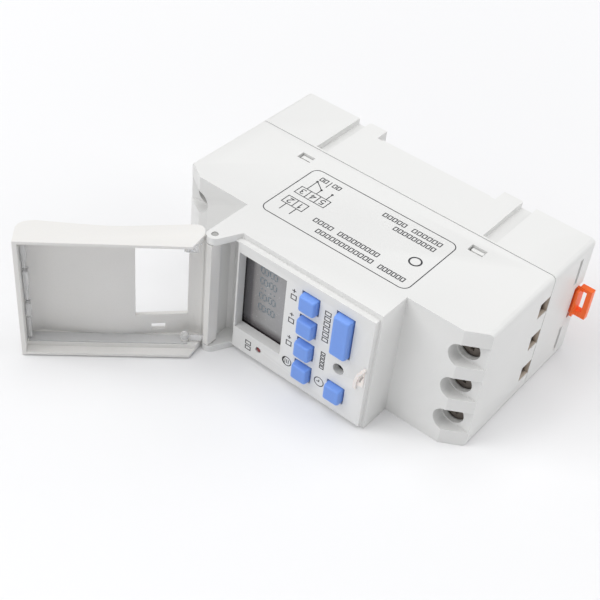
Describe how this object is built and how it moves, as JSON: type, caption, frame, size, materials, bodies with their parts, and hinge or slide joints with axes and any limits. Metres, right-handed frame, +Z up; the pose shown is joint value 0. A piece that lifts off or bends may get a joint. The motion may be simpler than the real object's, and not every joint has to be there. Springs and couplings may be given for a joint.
{
  "type": "DIN rail timer",
  "caption": "Two-module weekly timer for a 35 mm rail with a hinged lid, display, push keys, screw cage terminals and a sprung rail clip.",
  "frame": {"origin": "middle of the flat seat in the rail channel, where the rail's front rests", "axes": "+X from the lid end to the rail-clip end, +Y from the front panel to the rail, +Z up through the printed side face"},
  "size_m": [0.1018, 0.0954, 0.0356],
  "materials": {
    "housing": "fine moulded texture, light grey",
    "lid": "fine moulded texture, light grey",
    "clip": "satin orange",
    "lcd": "reflective display glass, grey",
    "white_plastic": "plain white moulding",
    "zebra": "striped conductive rubber",
    "circuit_board": "green solder mask",
    "power_board": "brown phenolic",
    "silicone": "soft translucent grey",
    "button": "satin blue",
    "black_plastic": "moulded black",
    "led": "clear dark red lens",
    "film_capacitor": "yellow box",
    "capacitor_can": "sleeved can",
    "varistor": "dipped blue coating",
    "resistor": "painted ceramic",
    "nickel_steel": "nickel plated",
    "relay_cover": "dark blue cover",
    "coil": "enamelled copper wire",
    "steel": "zinc plated, dull",
    "brass": "bright brass",
    "contact_strip": "tinned copper"
  },
  "bodies": {
    "case": {"front_housing": "housing", "rear_base": "housing", "lcd_glass": "lcd", "lcd_frame": "white_plastic", "zebra_left": "zebra", "zebra_right": "zebra", "display_board": "circuit_board", "power_board": "power_board", "keypad_sheet": "silicone", "reset_switch": "black_plastic", "led_on": "led", "film_capacitor": "film_capacitor", "smoothing_capacitor": "capacitor_can", "varistor": "varistor", "safety_resistor": "resistor", "rectifier": "black_plastic", "controller_chip": "black_plastic", "clock_crystal": "nickel_steel", "backup_cell": "nickel_steel", "board_link": "black_plastic", "relay_cover": "relay_cover", "relay_base": "black_plastic", "relay_coil": "coil", "relay_contact": "contact_strip", "contact_strip_1": "contact_strip", "contact_strip_2": "contact_strip", "contact_strip_3": "contact_strip", "contact_strip_4": "contact_strip", "contact_strip_5": "contact_strip"},
    "lid": {"lid": "lid"},
    "clip": {"din_clip": "clip"},
    "armature": {"relay_armature": "steel"},
    "reset": {"reset_plunger": "black_plastic"},
    "button_program": {"button_program": "button"},
    "button_day": {"button_day": "button"},
    "button_hour": {"button_hour": "button"},
    "button_minute": {"button_minute": "button"},
    "button_clock": {"button_clock": "button"},
    "button_manual": {"button_manual": "button"},
    "screw_1": {"terminal_screw_1": "steel"},
    "cage_1": {"terminal_cage_1": "brass"},
    "screw_2": {"terminal_screw_2": "steel"},
    "cage_2": {"terminal_cage_2": "brass"},
    "screw_3": {"terminal_screw_3": "steel"},
    "cage_3": {"terminal_cage_3": "brass"},
    "screw_4": {"terminal_screw_4": "steel"},
    "cage_4": {"terminal_cage_4": "brass"},
    "screw_5": {"terminal_screw_5": "steel"},
    "cage_5": {"terminal_cage_5": "brass"}
  },
  "joints": [
    {"name": "lid_hinge", "type": "hinge", "parent": "case", "child": "lid", "pos_m": [-0.021, -0.05805, 0], "axis": [0, 0, 1], "range_deg": [0, 137.6]},
    {"name": "clip_slide", "type": "slide", "parent": "case", "child": "clip", "axis": [1, 0, 0], "range_m": [0, 0.0025], "stiffness_N_per_m": 1500, "springref_m": -0.001},
    {"name": "reset_press", "type": "slide", "parent": "case", "child": "reset", "axis": [0, 1, 0], "range_m": [0, 0.0004], "stiffness_N_per_m": 500, "springref_m": -0.0003},
    {"name": "armature_hinge", "type": "hinge", "parent": "case", "child": "armature", "pos_m": [0.0083, -0.0333, 0.0071], "axis": [0, 0, 1], "range_deg": [-3, 0], "stiffness_Nm_per_rad": 0.02, "springref_deg": 2.86},
    {"name": "program_press", "type": "slide", "parent": "case", "child": "button_program", "axis": [0, 1, 0], "range_m": [0, 0.0008], "stiffness_N_per_m": 400, "springref_m": -0.0005},
    {"name": "day_press", "type": "slide", "parent": "case", "child": "button_day", "axis": [0, 1, 0], "range_m": [0, 0.0008], "stiffness_N_per_m": 400, "springref_m": -0.0005},
    {"name": "hour_press", "type": "slide", "parent": "case", "child": "button_hour", "axis": [0, 1, 0], "range_m": [0, 0.0008], "stiffness_N_per_m": 400, "springref_m": -0.0005},
    {"name": "minute_press", "type": "slide", "parent": "case", "child": "button_minute", "axis": [0, 1, 0], "range_m": [0, 0.0008], "stiffness_N_per_m": 400, "springref_m": -0.0005},
    {"name": "clock_press", "type": "slide", "parent": "case", "child": "button_clock", "axis": [0, 1, 0], "range_m": [0, 0.0008], "stiffness_N_per_m": 400, "springref_m": -0.0005},
    {"name": "manual_press", "type": "slide", "parent": "case", "child": "button_manual", "axis": [0, 1, 0], "range_m": [0, 0.0008], "stiffness_N_per_m": 400, "springref_m": -0.0005},
    {"name": "screw_1_turn", "type": "hinge", "parent": "case", "child": "screw_1", "pos_m": [0.0384, -0.0394, -0.0101], "axis": [0, 1, 0], "range_deg": [0, 1801]},
    {"name": "cage_1_lift", "type": "slide", "parent": "case", "child": "cage_1", "axis": [0, -1, 0], "range_m": [0, 0.003]},
    {"name": "screw_2_turn", "type": "hinge", "parent": "case", "child": "screw_2", "pos_m": [0.0384, -0.0394, 0.0001], "axis": [0, 1, 0], "range_deg": [0, 1801]},
    {"name": "cage_2_lift", "type": "slide", "parent": "case", "child": "cage_2", "axis": [0, -1, 0], "range_m": [0, 0.003]},
    {"name": "screw_3_turn", "type": "hinge", "parent": "case", "child": "screw_3", "pos_m": [0.0384, -0.0394, 0.0103], "axis": [0, 1, 0], "range_deg": [0, 1801]},
    {"name": "cage_3_lift", "type": "slide", "parent": "case", "child": "cage_3", "axis": [0, -1, 0], "range_m": [0, 0.003]},
    {"name": "screw_4_turn", "type": "hinge", "parent": "case", "child": "screw_4", "pos_m": [-0.0384, -0.0394, 0.0103], "axis": [0, 1, 0], "range_deg": [0, 1801]},
    {"name": "cage_4_lift", "type": "slide", "parent": "case", "child": "cage_4", "axis": [0, -1, 0], "range_m": [0, 0.003]},
    {"name": "screw_5_turn", "type": "hinge", "parent": "case", "child": "screw_5", "pos_m": [-0.0384, -0.0394, -0.0101], "axis": [0, 1, 0], "range_deg": [0, 1801]},
    {"name": "cage_5_lift", "type": "slide", "parent": "case", "child": "cage_5", "axis": [0, -1, 0], "range_m": [0, 0.003]}
  ],
  "couplings": [
    {"joint": "screw_1_turn", "follows": "cage_1_lift", "rad_per_m": 10472},
    {"joint": "screw_2_turn", "follows": "cage_2_lift", "rad_per_m": 10472},
    {"joint": "screw_3_turn", "follows": "cage_3_lift", "rad_per_m": 10472},
    {"joint": "screw_4_turn", "follows": "cage_4_lift", "rad_per_m": 10472},
    {"joint": "screw_5_turn", "follows": "cage_5_lift", "rad_per_m": 10472}
  ]
}
